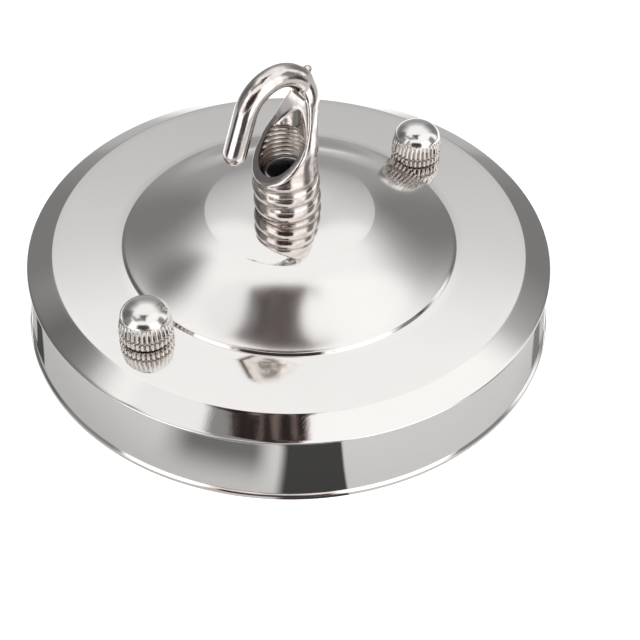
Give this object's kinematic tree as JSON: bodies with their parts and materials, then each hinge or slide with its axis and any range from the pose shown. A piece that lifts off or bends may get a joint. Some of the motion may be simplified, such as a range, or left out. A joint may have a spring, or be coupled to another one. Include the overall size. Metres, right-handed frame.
{
  "type": "ceiling hook plate",
  "caption": "Domed round ceiling canopy with a cast hook on top, fixed to a strap by two knurled cap nuts, for hanging a pendant lamp.",
  "frame": {"origin": "centre of the open rim, in the plane that meets the ceiling", "axes": "+Z from the ceiling side towards the room, along the cover's axis; the strap and both cap nuts lie along X"},
  "size_m": [0.1058, 0.1058, 0.0586],
  "materials": {
    "polished_nickel_chrome": "polished",
    "plated_casting": "polished",
    "zinc_plated_steel": "satin"
  },
  "bodies": {
    "cover": {"canopy_cover": "polished_nickel_chrome", "hook_casting": "plated_casting", "hollow_nipple": "zinc_plated_steel", "toothed_washer": "zinc_plated_steel", "nipple_nut": "zinc_plated_steel", "mounting_strap": "zinc_plated_steel", "strap_screw_left": "zinc_plated_steel", "strap_screw_right": "zinc_plated_steel", "lock_nut_left": "zinc_plated_steel", "lock_nut_right": "zinc_plated_steel"},
    "cap_nut_left": {"cap_nut_left": "polished_nickel_chrome"},
    "cap_nut_right": {"cap_nut_right": "polished_nickel_chrome"}
  },
  "joints": [
    {"name": "cap_nut_left_thread", "type": "hinge", "parent": "cover", "child": "cap_nut_left", "pos_m": [-0.03815, 0, 0.02], "axis": [0, 0, 1], "range_deg": [0, 2260]},
    {"name": "cap_nut_right_thread", "type": "hinge", "parent": "cover", "child": "cap_nut_right", "pos_m": [0.03815, 0, 0.02], "axis": [0, 0, 1], "range_deg": [0, 2260]}
  ]
}
